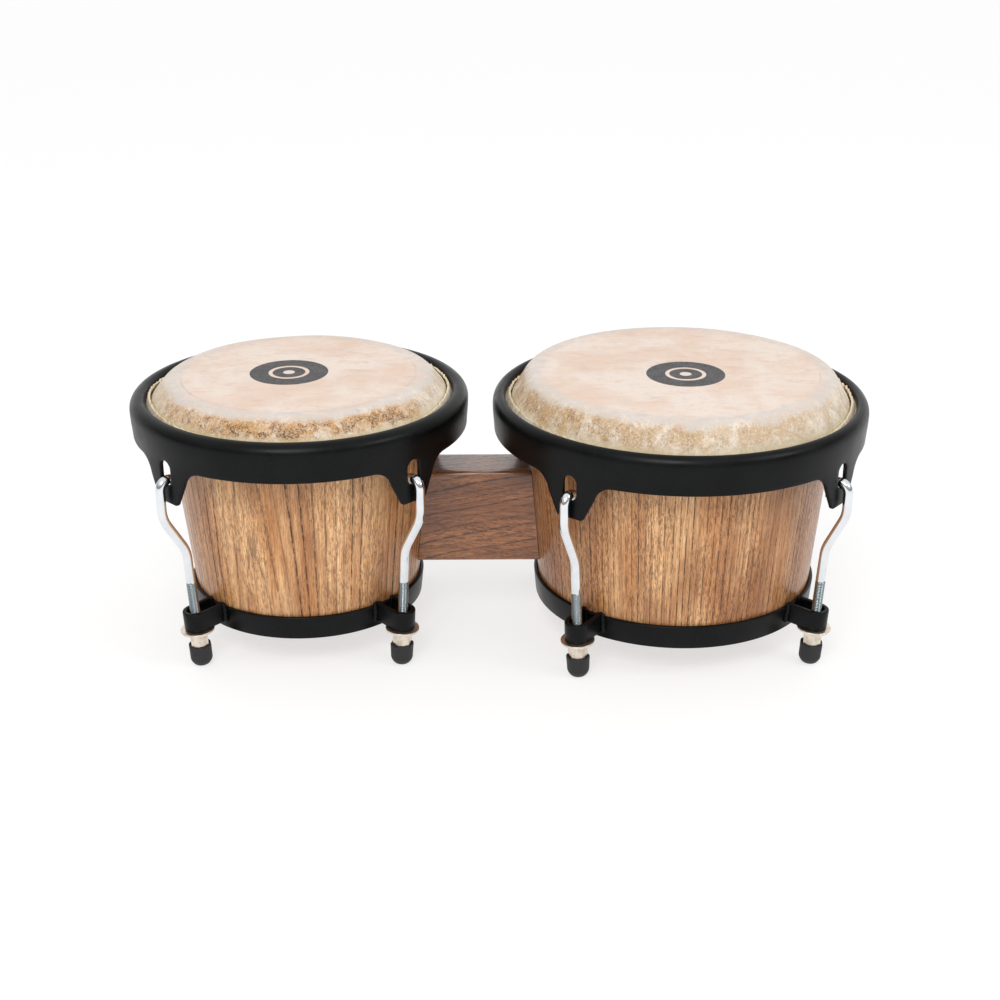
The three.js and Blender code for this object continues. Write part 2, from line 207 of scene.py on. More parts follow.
def rounded(corners, steps=5, closed=True):
    """A section with its corners rounded. Each corner is (x, y) or (x, y, radius)."""
    outline = []
    count = len(corners)
    for i, corner in enumerate(corners):
        here = Vector(corner[:2])
        is_end = not closed and i in (0, count - 1)
        if len(corner) == 2 or is_end:
            outline.append(tuple(here))
            continue
        back = Vector(corners[i - 1][:2]) - here
        ahead = Vector(corners[(i + 1) % count][:2]) - here
        half = back.angle(ahead) / 2
        reach = min(corner[2] / math.tan(half), 0.49 * back.length, 0.49 * ahead.length)
        radius = reach * math.tan(half)
        inward = (back.normalized() + ahead.normalized()).normalized()
        centre = here + inward * (radius / math.sin(half))
        start = here + back.normalized() * reach - centre
        end = here + ahead.normalized() * reach - centre
        turn = start.angle_signed(end)
        for k in range(steps + 1):
            swing = Matrix.Rotation(-turn * k / steps, 2)
            outline.append(tuple(centre + swing @ start))
    return outline


def arc(centre_x, centre_y, radius, start, end, steps):
    points = []
    for k in range(steps + 1):
        x, y = polar(radius, start + (end - start) * k / steps)
        points.append((centre_x + x, centre_y + y))
    return points


def lathe(name, section, steps=192, shape=None, **options):
    """Turns a closed section of (radius, height) about Z. A section may start and end on
    the axis. shape(radius, height, angle, index) may move each point."""
    on_axis = section[0][0] == 0 and section[-1][0] == 0
    vertices, faces = [], []
    count = len(section)
    for k in range(steps):
        angle = FULL_TURN * k / steps
        for i, (radius, height) in enumerate(section):
            if shape:
                radius, height = shape(radius, height, angle, i)
            vertices.append((radius * math.cos(angle), radius * math.sin(angle), height))
    spans = count - 1 if on_axis else count
    for k in range(steps):
        here, there = k * count, ((k + 1) % steps) * count
        for i in range(spans):
            j = (i + 1) % count
            if on_axis and i == 0:
                faces.append((0, there + j, here + j))
            elif on_axis and j == count - 1:
                faces.append((here + i, there + i, count - 1))
            else:
                faces.append((here + i, there + i, there + j, here + j))
    used = sorted({v for face in faces for v in face})
    renumber = {old: new for new, old in enumerate(used)}
    faces = [tuple(renumber[v] for v in face) for face in faces]
    return facing_out(new_mesh(name, [vertices[v] for v in used], faces, **options))


def facing_out(made):
    """Turns a closed mesh's faces to point outwards, by the sign of its volume."""
    mesh = made.data
    mesh.calc_loop_triangles()
    volume = 0.0
    for triangle in mesh.loop_triangles:
        a, b, c = (mesh.vertices[v].co for v in triangle.vertices)
        volume += a.dot(b.cross(c))
    if volume < 0:
        mesh.flip_normals()
    return made


def sweep(name, path, section, up=(0, 1, 0), radius_at=None, **options):
    """Carries a closed section along a path that lies in one plane, whose normal is up.
    A section point is (along the plane's sideways direction, along up)."""
    path = [Vector(p) for p in path]
    up = Vector(up)
    vertices, faces = [], []
    count = len(section)
    length = 0.0
    for k, point in enumerate(path):
        before = path[max(k - 1, 0)]
        after = path[min(k + 1, len(path) - 1)]
        along = (after - before).normalized()
        side = up.cross(along).normalized()
        if k:
            length += (point - before).length
        for i, (across, height) in enumerate(section):
            grow = radius_at(length, i) if radius_at else 1.0
            vertices.append(point + side * (across * grow) + up * (height * grow))
    for k in range(len(path) - 1):
        for i in range(count):
            j = (i + 1) % count
            faces.append((k * count + i, k * count + j, (k + 1) * count + j, (k + 1) * count + i))
    faces.append(tuple(range(count - 1, -1, -1)))
    last = (len(path) - 1) * count
    faces.append(tuple(range(last, last + count)))
    return facing_out(new_mesh(name, vertices, faces, **options))


def circle(radius, sides):
    return [polar(radius, 360 * i / sides) for i in range(sides)]


def joined(name, parts):
    """Several meshes as one piece."""
    keep = parts[0]
    with bpy.context.temp_override(active_object=keep, selected_editable_objects=parts):
        bpy.ops.object.join()
    keep.name = name
    keep.data.name = name
    return keep


def finish_piece(made, material, body, replaces=()):
    made.data.materials.clear()
    made.data.materials.append(material)
    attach(made, body)
    if replaces:
        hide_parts(*replaces)
    return made


def on_axis_of(drum, transform=None):
    place = Matrix.Translation((drum.axis_x, 0, 0))
    return place @ transform if transform is not None else place


def add_grain_map(made, mapping):
    """A UV map in metres that follows the wood: mapping(point, middle of its face) gives
    (across, along)."""
    mesh = made.data
    layer = mesh.uv_layers.new(name="grain")
    for polygon in mesh.polygons:
        middle = polygon.center
        for loop in polygon.loop_indices:
            point = mesh.vertices[mesh.loops[loop].vertex_index].co
            layer.data[loop].uv = mapping(point, middle)


# --------------------------------------------------------------------- material helpers


class Nodes:
    """A node tree, built by calls that return sockets."""

    def __init__(self, tree):
        self.tree = tree

    def feed(self, socket, value):
        if isinstance(value, bpy.types.NodeSocket):
            self.tree.links.new(value, socket)
        else:
            socket.default_value = value

    def node(self, kind, inputs, **settings):
        made = self.tree.nodes.new("ShaderNode" + kind)
        for key, value in settings.items():
            setattr(made, key, value)
        for key, value in inputs.items():
            self.feed(made.inputs[key], value)
        return made

    def math(self, operation, a, b=0.0, clamp=False):
        return self.node("Math", {0: a, 1: b}, operation=operation, use_clamp=clamp).outputs[0]

    def scaled(self, vector, scale):
        return self.node("VectorMath", {0: vector, 1: scale}, operation="MULTIPLY").outputs[0]

    def shifted(self, vector, offset):
        return self.node("VectorMath", {0: vector, 1: offset}, operation="ADD").outputs[0]

    def product(self, *values):
        total = values[0]
        for value in values[1:]:
            total = self.math("MULTIPLY", total, value)
        return total

    def length(self, vector):
        return self.node("VectorMath", {0: vector}, operation="LENGTH").outputs["Value"]

    def split(self, vector):
        return self.node("SeparateXYZ", {0: vector}).outputs

    def build(self, x=0.0, y=0.0, z=0.0):
        return self.node("CombineXYZ", {0: x, 1: y, 2: z}).outputs[0]

    def noise(self, vector, scale, detail=3.0, roughness=0.55, distortion=0.0):
        return self.node("TexNoise", {"Vector": vector, "Scale": scale, "Detail": detail,
                                      "Roughness": roughness, "Distortion": distortion}).outputs[0]

    def step(self, value, low, high, to_low=0.0, to_high=1.0):
        """A smooth step from one value to another."""
        return self.node("MapRange", {"Value": value, "From Min": low, "From Max": high,
                                      "To Min": to_low, "To Max": to_high},
                         interpolation_type="SMOOTHSTEP").outputs[0]

    def mix(self, factor, a, b, blend="MIX"):
        made = self.tree.nodes.new("ShaderNodeMix")
        made.data_type = "RGBA"
        made.blend_type = blend
        self.feed(made.inputs[0], factor)
        self.feed(made.inputs[6], a)
        self.feed(made.inputs[7], b)
        return made.outputs[2]

    def tint(self, tone, colour, *weights):
        """A tone with a colour laid over it, as strongly as the product of the weights."""
        return self.mix(self.product(*weights), tone, colour)

    def add(self, a, b):
        return self.math("ADD", a, b)

    def centred(self, value, size):
        """A noise value moved to lie about nought, and scaled."""
        return self.product(self.math("SUBTRACT", value, 0.5), size)

    def bump(self, height, distance, strength=1.0, normal=None):
        inputs = {"Height": height, "Distance": distance, "Strength": strength}
        if normal is not None:
            inputs["Normal"] = normal
        return self.node("Bump", inputs).outputs[0]


class Paint(Nodes):
    """A material round one Principled shader."""

    def __init__(self, name):
        self.material = bpy.data.materials.new(name)
        self.material.use_nodes = True
        super().__init__(self.material.node_tree)
        self.shader = self.tree.nodes["Principled BSDF"]

    def set(self, **values):
        for key, value in values.items():
            self.feed(self.shader.inputs[key.replace("_", " ")], value)

    def place(self):
        return self.node("TexCoord", {}).outputs["Object"]

    def grain(self):
        return self.node("UVMap", {}, uv_map="grain").outputs["UV"]


def rgb(red, green, blue):
    """A colour from screen values of 0 to 255."""
    def linear(value):
        value /= 255
        return value / 12.92 if value <= 0.04045 else ((value + 0.055) / 1.055) ** 2.4
    return linear(red), linear(green), linear(blue), 1.0


# ---------------------------------------------------------------------------- materials

PLAYED_PALE = rgb(229, 214, 202)
PLAYED_ROSE = rgb(223, 198, 180)
PLAYED_TAN = rgb(212, 180, 157)
PLAYED_GREY = rgb(201, 192, 189)
SHOULDER_HAZE = rgb(204, 198, 194)
SKIRT_CREAM = rgb(233, 221, 204)
SKIRT_TAN = rgb(207, 185, 157)
SKIRT_GREY = rgb(181, 168, 152)
SKIRT_GOLD = {"macho": rgb(208, 154, 88), "hembra": rgb(196, 156, 104)}
SKIRT_BROWN = rgb(158, 114, 68)
SKIRT_SPOT = rgb(186, 112, 56)
SKIRT_ROOT = rgb(94, 68, 44)
SKIRT_EDGE = rgb(214, 200, 156)
SKIRT_FUZZ = rgb(240, 232, 218)
MACHO_TONES = (rgb(252, 202, 148), rgb(224, 162, 106), rgb(148, 92, 52), rgb(54, 31, 19))
HEMBRA_TONES = (rgb(246, 194, 140), rgb(214, 152, 98), rgb(140, 85, 48), rgb(54, 30, 18))
BLOCK_TONES = (rgb(184, 120, 72), rgb(148, 90, 51), rgb(96, 54, 30), rgb(28, 15, 10))
INK_DARK = rgb(50, 51, 54)
INK_WORN = rgb(88, 87, 90)
DISC_RADIUS = 23.15
RING_OUTER = 12.0
RING_INNER = 9.6
DOT_RADIUS = 3.4
INK_BLUR = 0.2
DISC_CENTRE = {"macho": (-6.2, 1.1), "hembra": (2.3, -7.7)}


def growth_rings(paint, across, along, figure, spacing, sway, offset):
    """The rings of a board cut flat from a log. Gives the place along the grain that slow
    changes follow, the wandering distance across, how far through its year a point is, and
    the band of pores that each year starts with."""
    centre, pith, slope, reach = figure
    slow = paint.build(across, paint.product(along, 0.25), offset)
    wander = paint.centred(paint.noise(slow, 14, 2.0), sway)
    ripple = paint.centred(paint.noise(slow, 110, 3.0, 0.6), sway * 0.1)
    bent = paint.add(paint.add(across, wander), ripple)
    side = paint.math("SUBTRACT", bent, centre)
    spread = paint.math("SQRT", paint.add(paint.product(side, side), pith * pith))
    arching = paint.step(paint.math("ABSOLUTE", side), reach, reach * 0.2)
    ring = paint.add(spread, paint.product(along, slope, arching))
    uneven = paint.centred(paint.noise(paint.build(ring, offset), 70, 1.0), 1.6)
    year = paint.add(paint.product(ring, 1 / spacing), uneven)
    phase = paint.math("FRACT", year)
    number = paint.math("FLOOR", year)
    band = paint.product(paint.step(phase, 0.0, 0.08), paint.step(phase, 0.32, 0.13))
    strong = paint.step(paint.noise(paint.build(number, offset), 1.7, 0.0), 0.3, 0.6, 0.35, 1.0)
    return slow, bent, phase, paint.product(band, strong)


def wood_material(name, seed, tones, figure, spacing, sway, scatter, flank_shade=0.0, gloss=0.3):
    """Open-pored wood: rings give arches round a centre line and nearly straight lines
    beside it. tones are (pale, mid, deep, pore). figure is (centre across, distance from
    the pith, slope of the rings, reach of the arches) and spacing is between rings, in
    metres. sway is how far the grain wanders, scatter is how thickly pores lie between the
    bands, flank_shade is how much darker the wood is painted to either side of the front,
    partly the wood's own darker tone and partly painted shade where the light falls off
    round the shell, and gloss is the weight of its lacquer."""
    paint = Paint(name)
    pale, mid, deep, pore_tone = tones
    across, along, _ = paint.split(paint.grain())
    offset = seed * 3.17
    slow, bent, phase, band = growth_rings(paint, across, along, figure, spacing, sway, offset)

    def fibres(beside, stretch, shift, scale, detail, roughness=0.55):
        """Noise drawn out along the grain."""
        return paint.noise(paint.build(beside, paint.product(along, stretch), offset + shift),
                           scale, detail, roughness)

    streak = fibres(bent, 0.02, 0, 520, 3.0, 0.7)
    tone = paint.mix(paint.step(fibres(bent, 0.12, 5, 55, 4.0, 0.6), 0.36, 0.62), mid, pale)
    tone = paint.tint(tone, deep, paint.step(fibres(across, 0.3, 9, 17, 3.0), 0.5, 0.7), 0.75)
    tone = paint.tint(tone, deep, paint.step(streak, 0.42, 0.7), 0.5)
    tone = paint.tint(tone, deep, paint.step(phase, 0.5, 1.0), 0.22)
    aside = paint.math("ABSOLUTE", across)
    # Painted shade: the wood is darkened in a band to either side of the front, where the light falls off
    # round the shell; partly also the wood's own darker tone.
    tone = paint.tint(tone, deep, paint.step(aside, 0.03, 0.08), paint.step(aside, 0.2, 0.14), flank_shade)
    tone = paint.tint(tone, deep, paint.step(fibres(bent, 0.05, 7, 1500, 2.0, 0.7), 0.45, 0.57), 0.42)
    tone = paint.tint(tone, pore_tone, band, 0.3)

    dashes = paint.step(fibres(bent, 0.16, 2, 1150, 2.0, 0.6), 0.45, 0.49)
    ticks = paint.step(fibres(bent, 0.18, 4, 1750, 1.0, 0.5), 0.53, 0.58)
    patchy = paint.step(paint.noise(slow, 60, 2.0), 0.35, 0.6, 0.35, 1.0)
    pores = paint.math("MAXIMUM", paint.product(band, dashes), paint.product(ticks, patchy, scatter))
    tone = paint.tint(tone, pore_tone, pores, 0.85)
    sunk = paint.bump(paint.product(pores, -1.0), 0.00015, 0.5)
    paint.set(Base_Color=tone, Roughness=paint.step(pores, 0.0, 1.0, 0.34, 0.6),
              Normal=paint.bump(streak, 0.00005, 0.3, sunk))
    paint.set(Specular_IOR_Level=0.25, Coat_Weight=gloss, Coat_Roughness=0.14)
    return paint.material


class HidePaint(Paint):
    """The places and patterns that the layers of colour on one head share."""

    def __init__(self, drum):
        super().__init__(f"{drum.name}_rawhide")
        self.drum = drum
        self.about = self.shifted(self.place(), (-drum.axis_x * MM, 0, 0))
        self.x, self.y, self.z = self.split(self.about)
        self.sheet = self.build(self.x, self.y, self.product(self.z, 0.7))
        self.radius = self.length(self.build(self.x, self.y))
        self.shoulder = (drum.collar_radius - HEAD_SHOULDER) * MM
        self.collar = drum.collar_radius * MM
        wobble = self.centred(self.noise(self.sheet, 42, 3.0, 0.6), 0.0075)
        self.reach = self.add(self.radius, wobble)
        self.mottle = self.noise(self.sheet, 150, 5.0, 0.65, 0.4)
        self.fleck = self.noise(self.sheet, 900, 3.0, 0.7)
        self.hairs = self.noise(self.sheet, 1250, 2.0, 0.7)
        self.nap = self.noise(self.sheet, 480, 4.0, 0.7)

    def played(self):
        """Pale, rosy and cloudy, where the hands strike."""
        cloud = self.noise(self.shifted(self.sheet, (self.drum.seed, 0, 0)), 24, 4.0, 0.6, 0.5)
        strokes = self.noise(self.scaled(self.sheet, (1.0, 3.0, 1.0)), 75, 5.0, 0.65, 0.3)
        tone = self.mix(self.step(cloud, 0.36, 0.64), PLAYED_ROSE, PLAYED_PALE)
        tone = self.tint(tone, PLAYED_TAN, self.step(strokes, 0.5, 0.72), 0.6)
        tone = self.tint(tone, PLAYED_GREY, self.step(self.mottle, 0.5, 0.7), 0.35)
        return self.tint(tone, PLAYED_TAN, self.step(self.fleck, 0.5, 0.75), 0.3)

    def golden(self, patches):
        """Where the collar is golden. patches are (direction in degrees, strength)."""
        most = 0.0
        for degrees, strength in patches:
            ux, uy = polar(1.0, degrees)
            facing = self.add(self.product(self.x, ux), self.product(self.y, uy))
            facing = self.math("DIVIDE", facing, self.radius)
            most = self.math("MAXIMUM", most, self.product(self.step(facing, 0.72, 0.97), strength))
        return most

    def skirt(self, golden, gold, rooted):
        """The collar's tone, and how dark its hair roots are."""
        shoulder, collar, roots = self.shoulder, self.collar, self.step(self.hairs, 0.45, 0.6)
        blotch = self.noise(self.sheet, 85, 4.0, 0.65, 0.8)
        clump = self.noise(self.shifted(self.sheet, (0, 2, 0)), 170, 4.0, 0.65, 0.5)
        tone = self.mix(self.step(blotch, 0.36, 0.64), SKIRT_TAN, SKIRT_CREAM)
        tone = self.tint(tone, SKIRT_GREY, self.step(self.nap, 0.46, 0.66), 0.45)
        warm = self.product(golden, self.step(blotch, 0.78, 0.4),
                            self.step(self.reach, shoulder + 0.002, shoulder + 0.008),
                            self.step(self.reach, collar + 0.002, collar - 0.004))
        tone = self.tint(tone, gold, warm, self.step(self.nap, 0.3, 0.6, 0.6, 0.95))
        low = self.product(self.step(self.reach, shoulder + 0.0055, shoulder + 0.0095),
                           self.step(self.radius, collar, collar - 0.003))
        brown = self.product(golden, low, self.step(clump, 0.45, 0.6))
        tone = self.tint(tone, SKIRT_BROWN, brown, 0.5 * rooted)
        speckle = self.noise(self.shifted(self.sheet, (5, self.drum.seed, 0)), 130, 0.0)
        tone = self.tint(tone, SKIRT_SPOT, self.step(speckle, 0.76, 0.82), golden, 0.8)
        dark = self.add(self.product(brown, roots, 0.85 * rooted), self.product(warm, roots, 0.3 * rooted))
        faint = self.product(roots, self.step(self.nap, 0.5, 0.7), 0.2)
        dark = self.math("ADD", dark, faint, clamp=True)
        tone = self.mix(dark, tone, SKIRT_ROOT)
        fuzz = self.noise(self.shifted(self.sheet, (0, 0, 3)), 1050, 2.0, 0.6)
        tone = self.tint(tone, SKIRT_FUZZ, self.step(fuzz, 0.52, 0.64), 0.4)
        near_rim = self.product(self.step(self.radius, collar - 0.0028, collar - 0.0006),
                                self.step(self.radius, collar + 0.0013, collar + 0.0007))
        return self.tint(tone, SKIRT_EDGE, near_rim, 0.5), dark

    def ink(self, disc_centre):
        """A printed disc that leaves a thin ring and a dot of the skin bare."""
        centre = (-disc_centre[0] * MM, -disc_centre[1] * MM, 0)
        disc_x, disc_y, _ = self.split(self.shifted(self.about, centre))
        out = self.length(self.build(disc_x, disc_y))

        def within(radius):
            return self.step(out, (radius + INK_BLUR) * MM, radius * MM)

        ring = self.math("SUBTRACT", within(RING_OUTER), within(RING_INNER))
        bare = self.add(ring, within(DOT_RADIUS))
        top = self.drum.head_top
        on_top = self.step(self.z, (top - 3) * MM, (top - 1) * MM)
        return self.product(within(DISC_RADIUS), self.math("SUBTRACT", 1.0, bare), on_top)


def rawhide_material(drum, disc_centre, gold, rooted, patches):
    """Scraped skin: pale where it is played, hazy over the bearing edge, then golden with
    dark hair roots on the collar, and a printed disc. gold is the collar's strongest tone
    and rooted is how dark its hair roots are."""
    paint = HidePaint(drum)
    shoulder = paint.shoulder
    skirt, dark = paint.skirt(paint.golden(patches), gold, rooted)
    frayed = paint.add(paint.reach, paint.centred(paint.hairs, 0.005))
    colour = paint.mix(paint.step(frayed, shoulder - 0.001, shoulder + 0.0075), paint.played(), skirt)
    down = paint.step(paint.reach, shoulder + 0.0035, paint.collar - 0.001)
    colour = paint.tint(colour, SHOULDER_HAZE,
                        paint.step(paint.reach, shoulder - 0.007, shoulder + 0.001),
                        paint.step(down, 0.35, 0.05), paint.step(paint.mottle, 0.36, 0.62, 0.25, 0.8))
    ink_tone = paint.mix(paint.step(paint.fleck, 0.4, 0.7), INK_DARK, INK_WORN)
    colour = paint.tint(colour, ink_tone, paint.ink(disc_centre), 0.97)
    pits = paint.bump(paint.product(dark, -1.0), 0.0002, 0.5)
    paint.set(Base_Color=colour, Roughness=paint.step(paint.mottle, 0.3, 0.7, 0.5, 0.68),
              Normal=paint.bump(paint.nap, 0.00022, 0.35, pits))
    paint.set(Subsurface_Weight=0.1, Subsurface_Radius=(0.004, 0.002, 0.001), Specular_IOR_Level=0.35)
    return paint.material


def black_coat_material():
    """Satin powder coat with the faint orange peel of the powder."""
    paint = Paint("black_powder_coat")
    place = paint.place()
    peel = paint.noise(place, 900, 3.0, 0.5)
    wear = paint.noise(place, 45, 4.0, 0.6)
    dust = paint.step(paint.noise(place, 2600, 1.0), 0.66, 0.72)
    base = paint.mix(paint.step(wear, 0.35, 0.7), rgb(3, 4, 5), rgb(9, 11, 12))
    base = paint.mix(paint.product(dust, 0.1), base, rgb(110, 110, 108))
    paint.set(Base_Color=base, Roughness=paint.step(wear, 0.3, 0.7, 0.3, 0.4),
              Normal=paint.bump(peel, 0.00005, 0.3), Specular_IOR_Level=0.16)
    return paint.material


def chrome_material():
    """Bright chrome that is thinner and duller in the rolled thread."""
    paint = Paint("chrome")
    place = paint.place()
    smear = paint.noise(place, 120, 4.0, 0.6)
    bright = paint.mix(paint.step(smear, 0.35, 0.75), rgb(232, 234, 237), rgb(222, 226, 229))
    threaded = paint.step(paint.split(place)[2], (THREAD_TOP + 0.6) * MM, (THREAD_TOP - 0.4) * MM)
    roughness = paint.add(paint.step(smear, 0.35, 0.75, 0.04, 0.07), paint.product(threaded, 0.2))
    paint.set(Base_Color=paint.mix(threaded, bright, rgb(158, 168, 172)), Roughness=roughness)
    paint.set(Metallic=1.0)
    return paint.material


def nickel_material():
    """Warm nickel plate, a little cloudy, with fine turning marks."""
    paint = Paint("warm_nickel")
    place = paint.place()
    cloudy = paint.noise(place, 300, 4.0, 0.65)
    marks = paint.noise(paint.scaled(place, (0.4, 0.4, 6.0)), 1200, 2.0)
    paint.set(Base_Color=paint.mix(paint.step(cloudy, 0.35, 0.7), rgb(232, 222, 208), rgb(208, 195, 178)),
              Roughness=paint.step(cloudy, 0.3, 0.7, 0.28, 0.42),
              Normal=paint.bump(marks, 0.00004, 0.35))
    paint.set(Metallic=1.0)
    return paint.material


def zinc_material():
    """Bright zinc plate with the small bright and dull grains of its crystals."""
    paint = Paint("zinc_plate")
    place = paint.place()
    grain = paint.noise(place, 800, 3.0, 0.6)
    stain = paint.noise(place, 90, 4.0, 0.6)
    base = paint.mix(paint.step(stain, 0.4, 0.7), rgb(190, 192, 194), rgb(160, 160, 156))
    paint.set(Base_Color=base, Roughness=paint.step(grain, 0.3, 0.7, 0.26, 0.42),
              Normal=paint.bump(grain, 0.00004, 0.3))
    paint.set(Metallic=1.0)
    return paint.material


def rubber_material():
    """Matte moulded rubber with a scuffed, slightly greyed nose."""
    paint = Paint("black_rubber")
    place = paint.place()
    grain = paint.noise(place, 1400, 3.0, 0.6)
    scuff = paint.noise(place, 380, 4.0, 0.7)
    low = paint.step(paint.split(place)[2], 0.005, 0.0, 0.15, 0.6)
    grey = paint.product(paint.step(scuff, 0.45, 0.7), low)
    paint.set(Base_Color=paint.mix(grey, rgb(27, 27, 28), rgb(78, 77, 75)),
              Roughness=paint.step(scuff, 0.3, 0.7, 0.55, 0.75),
              Normal=paint.bump(grain, 0.00012, 0.35))
    return paint.material


# ------------------------------------------------------------------------------- pieces

SKIN = 1.2
RIM_COLUMNS = 56  # faces round a quarter of the rim


def make_shell(drum, material):
    """A turned shell: broken edges at the foot, and a rounded bearing edge at the top."""
    foot = shell_radius(drum, drum.shell_bottom)
    top, crest = drum.shell_top_radius, drum.shell_top
    outer = rounded([(foot, drum.shell_bottom, 1.2), (top, SHELL_SHOULDER, 6), (top - 1.6, crest - 3, 3),
                     (top - 5, crest, 2.5), (top - SHELL_WALL, crest - 1.2, 1.5),
                     (foot - SHELL_WALL, drum.shell_bottom, 1.2)], steps=6)
    section = []
    for (r0, z0), (r1, z1) in zip(outer, outer[1:] + outer[:1]):
        parts = max(1, round(math.hypot(r1 - r0, z1 - z0) / 6))
        section += [(r0 + (r1 - r0) * k / parts, z0 + (z1 - z0) * k / parts) for k in range(parts)]
    made = lathe(f"{drum.name}_shell_wood", section, 240, transform=on_axis_of(drum))
    middle_radius = shell_radius(drum, 90) * MM

    def wrap(point, middle):
        side, depth = point.x - drum.axis_x * MM, point.y
        angle = math.atan2(side, -depth)
        centre_angle = math.atan2(middle.x - drum.axis_x * MM, -middle.y)
        if abs(angle - centre_angle) > math.pi:
            angle += math.copysign(FULL_TURN, centre_angle)
        return angle * middle_radius, point.z

    add_grain_map(made, wrap)
    return finish_piece(made, material, "root", [f"{drum.name}_shell"])


def head_path(drum):
    """The middle of the skin's thickness, from the centre of the head to its ragged edge."""
    top = drum.head_top - SKIN / 2
    collar = drum.collar_radius
    flat = collar - HEAD_SHOULDER
    hoop_radius = drum.hoop_outer - HOOP_WIRE
    wrap = HOOP_WIRE + 0.1 + SKIN / 2
    lead = [(0.0, top)] + [(flat * k / 24, top) for k in range(1, 24)]
    slope = rounded([(flat - 4, top), (flat + 5, top - 0.1, 11), (collar - 1.2, drum.hoop_height + 6.5, 5),
                     (hoop_radius - wrap, drum.hoop_height)], steps=9, closed=False)
    lap = arc(hoop_radius, drum.hoop_height, wrap, 180, 460, 22)
    edge = [(hoop_radius - 1.7, drum.hoop_height + wrap + 0.2), (collar + 1.7, drum.hoop_height + 4.8),
            (collar + 1.2, drum.hoop_height + 6.8), (collar + 0.5, drum.hoop_height + 9.4)]
    return lead + slope + lap[1:] + edge


def thickened(path, thickness):
    """A path given thickness: one side out and the other side back."""
    left, right = [], []
    for k, point in enumerate(path):
        before, after = Vector(path[max(k - 1, 0)]), Vector(path[min(k + 1, len(path) - 1)])
        along = (after - before).normalized()
        side = Vector((along.y, -along.x)) * thickness / 2
        left.append((max(point[0] - side.x, 0.0), point[1] - side.y))
        right.append((max(point[0] + side.x, 0.0), point[1] + side.y))
    return left + right[::-1]


def make_head(drum, material):
    """The skin in one sheet: flat, over the bearing edge, down the collar, round the
    hoop, and up to a trimmed edge that stands ragged inside the rim's lip."""
    path = head_path(drum)
    section = thickened(path, SKIN)
    count = len(path)
    chance = random.Random(drum.seed)

    def draw_terms(number, fewest, most, least):
        return [(chance.randint(fewest, most), chance.uniform(0, FULL_TURN), chance.uniform(least, 1.0))
                for _ in range(number)]

    waves = draw_terms(5, 2, 7, 0.3)
    frays = draw_terms(9, 24, 150, 0.4)
    shoulder = drum.collar_radius - HEAD_SHOULDER
    edge_start = drum.hoop_height + 4.5

    def wave(terms, angle):
        return sum(size * math.sin(turns * angle + start) for turns, start, size in terms) / len(terms)

    def shape(radius, height, angle, index):
        order = min(index, 2 * count - 1 - index)
        if order >= count - 4:
            at_sides = abs(math.cos(angle - 0.2)) ** 2.5
            rise = (height - edge_start) * at_sides
            lift = rise * (0.85 + 0.6 * wave(waves, angle) + 0.5 * wave(frays, angle))
            return radius + 0.5 * wave(frays, angle + 1), edge_start + min(lift, 6.0)
        near = math.exp(-((radius - shoulder - 3) / 7) ** 2) if order < count // 2 + 6 else 0.0
        dip = 0.18 * wave(waves, angle) * min(radius / shoulder, 1.0)
        return radius, height + dip + 0.55 * near * wave(waves, angle + 2)

    made = lathe(f"{drum.name}_skin", section, 360, shape, smooth_angle=60, transform=on_axis_of(drum))
    made.data.materials.append(material)
    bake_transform(made)
    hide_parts(f"{drum.name}_head", f"{drum.name}_head_lap")
    return made


def make_hoop(drum, material):
    wire = arc(drum.hoop_outer - HOOP_WIRE, drum.hoop_height, HOOP_WIRE, 0, 337.5, 15)
    made = lathe(f"{drum.name}_hoop_wire", wire, 160, transform=on_axis_of(drum))
    return finish_piece(made, material, drum.rim_body, [f"{drum.name}_flesh_hoop"])


# ---- rim

EDGE_ROUND = 0.8


def wall_radius(drum, height):
    """Outer face of the rim's wall: a slight taper from the roll down to the ears."""
    fall = min(max((drum.rim_top - 7 - height) / 17, 0.0), 1.0)
    return drum.rim_radius - RIM_TAPER * fall * fall * (3 - 2 * fall)


def roll_section(drum):
    """The rolled top, from the outer wall over its crown and down to the lip, then back
    under the roll to the inner wall."""
    outer, top = drum.rim_radius, drum.rim_top
    roll = ROLL_WIDTH[drum.name]
    lip = outer - roll
    crown = outer - 0.65 * roll
    seam = top - SEAM_DROP
    wall = wall_radius(drum, seam)
    shoulder, brow = 6.6, 3.4
    climb = [(wall_radius(drum, z), z) for z in (seam, seam + 1.7)]
    over = [(crown + x * (outer - crown), top - shoulder + z * shoulder)
            for x, z in arc(0, 0, 1, 0, 90, 14)]
    down = [(crown + x * (crown - lip), top - brow + z * brow)
            for x, z in arc(0, 0, 1, 90, 180, 12)]
    under = rounded([
        down[-1],
        (lip, top - LIP_DROP, 0.6),
        (lip + 1.9, top - LIP_DROP, 0.7),
        (lip + 2.2, top - 3.8, 1.0),
        (outer - RIM_SHEET - 0.9, top - 3.1, 2.0),
        (wall - RIM_SHEET, top - 7),
        (wall - RIM_SHEET, seam),
    ], closed=False)
    return climb + over + down[1:] + under[1:]


def ear_outline(drum, inset):
    """One quarter's lower outline, right to left, drawn flat: (distance round, height)."""
    band = drum.rim_top - BAND_DROP
    wing = EAR_SHOULDER_HALF + EAR_FILLET
    low = drum.ear_bottom + inset
    corner = EAR_CORNER - inset
    side = arc(wing, band - EAR_FILLET, EAR_FILLET + inset, 90, 165, 14)
    foot = arc(EAR_FOOT_HALF - EAR_CORNER, low + corner, corner, -15, -90, 7)
    half = side + foot
    return band + inset, half + [(-x, z) for x, z in reversed(half)]


def hole_outline(drum, inset):
    radius = HOLE_WIDTH / 2 + inset
    low = drum.rim_top - HOLE_DROP + HOLE_WIDTH / 2
    high = low + HOLE_HEIGHT - HOLE_WIDTH
    return arc(0, high, radius, 0, 180, 14) + arc(0, low, radius, 180, 360, 14)


